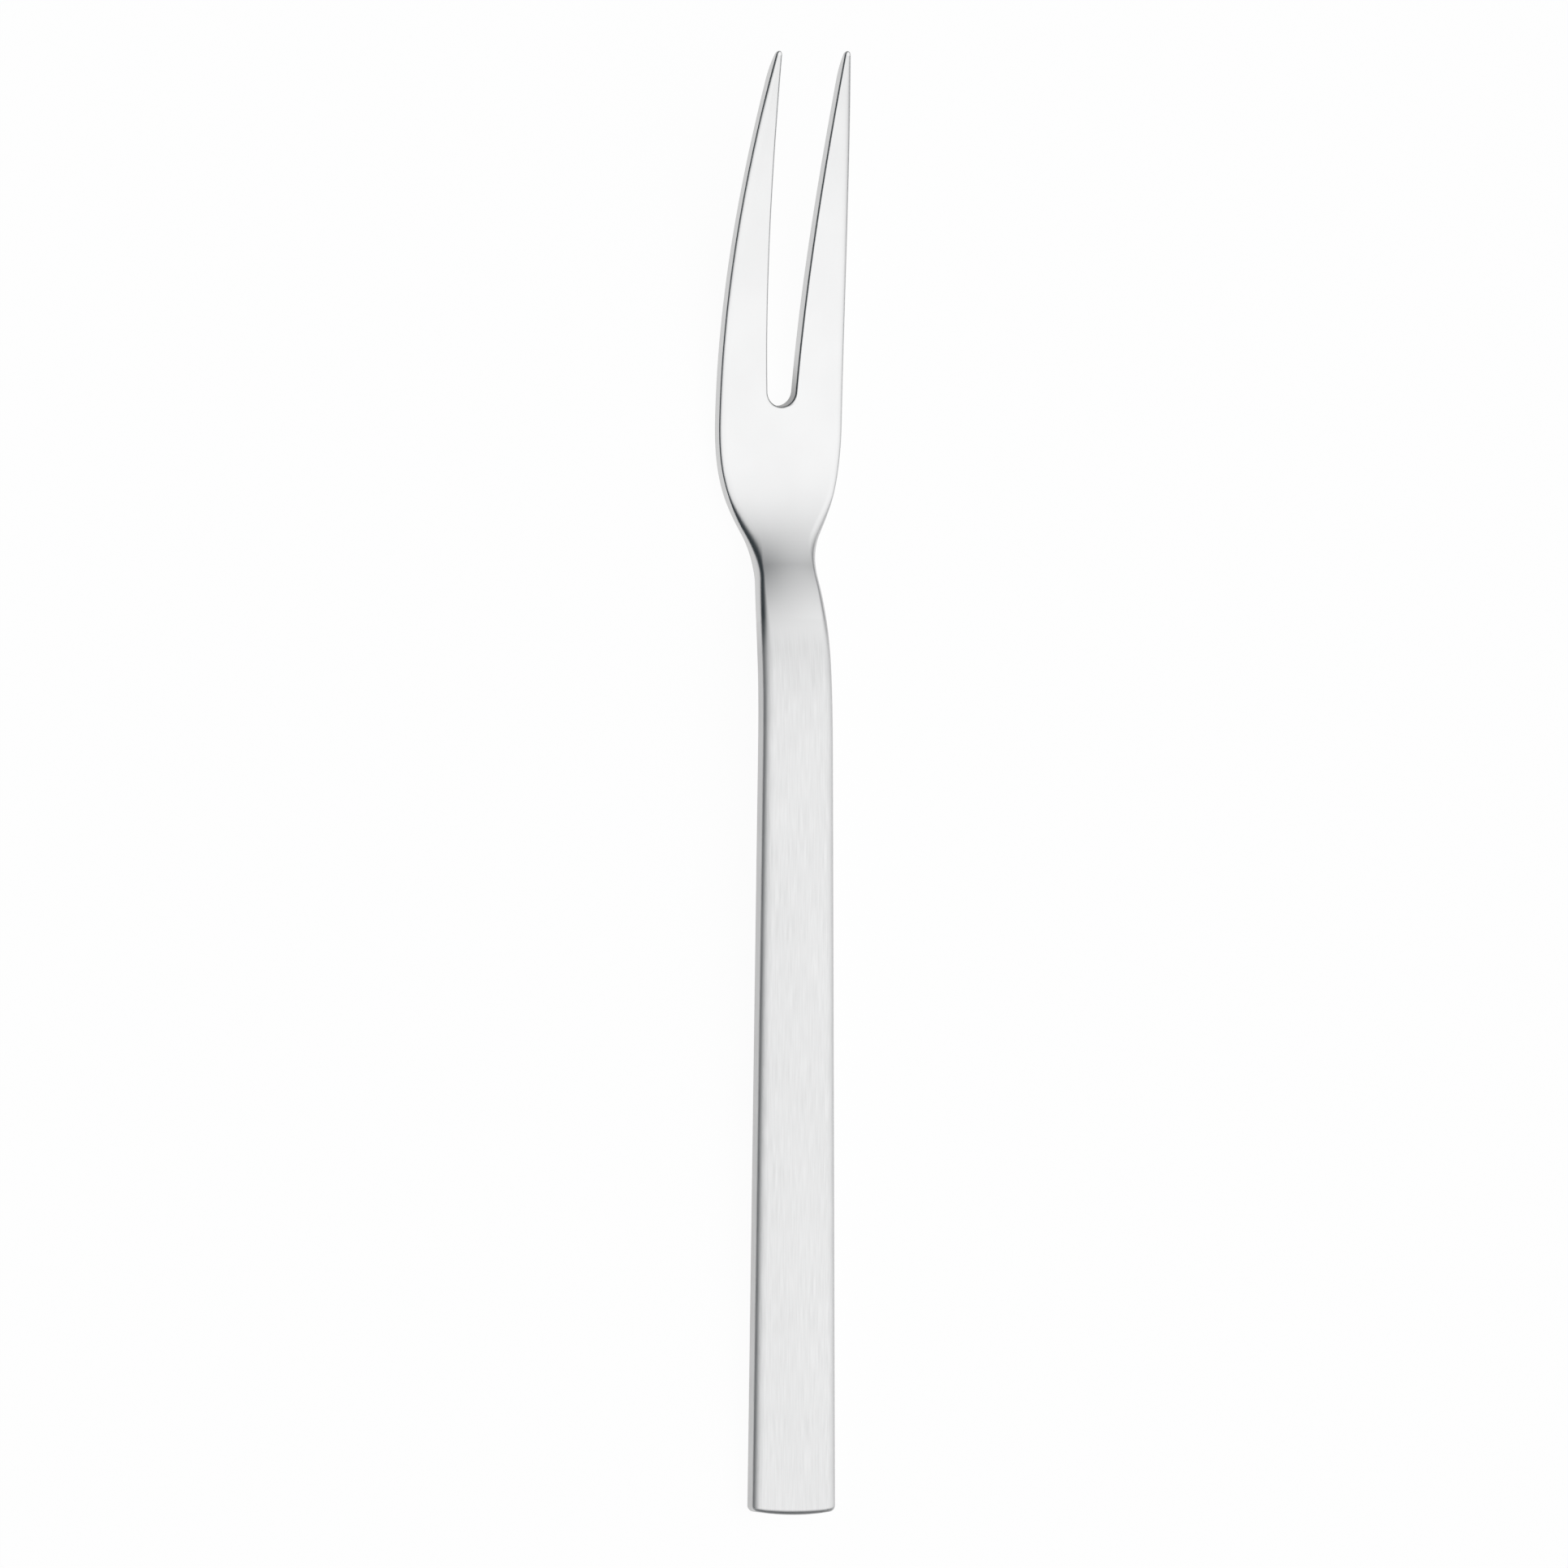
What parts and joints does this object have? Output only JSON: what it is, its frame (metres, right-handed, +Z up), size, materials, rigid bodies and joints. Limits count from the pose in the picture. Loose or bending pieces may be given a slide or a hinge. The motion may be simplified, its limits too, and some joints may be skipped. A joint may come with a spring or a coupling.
{
  "type": "meat fork",
  "caption": "Slim stainless serving fork with long tapering tines, a drawn-in neck and a flat satin handle, for lifting and holding meat.",
  "frame": {"origin": "on the table, under the middle of the fork's outline, with the fork lying on the back of its head and its handle end", "axes": "+Y along the fork towards the tine tips, +X to the right with the tines away from the viewer, +Z up out of the hollow side of the tines"},
  "size_m": [0.0184, 0.2047, 0.0167],
  "materials": {
    "satin_steel": "satin",
    "bright_steel": "polished"
  },
  "bodies": {
    "root": {"handle": "satin_steel", "neck": "bright_steel", "head_root": "bright_steel", "left_tine": "bright_steel", "right_tine": "bright_steel"}
  },
  "joints": []
}
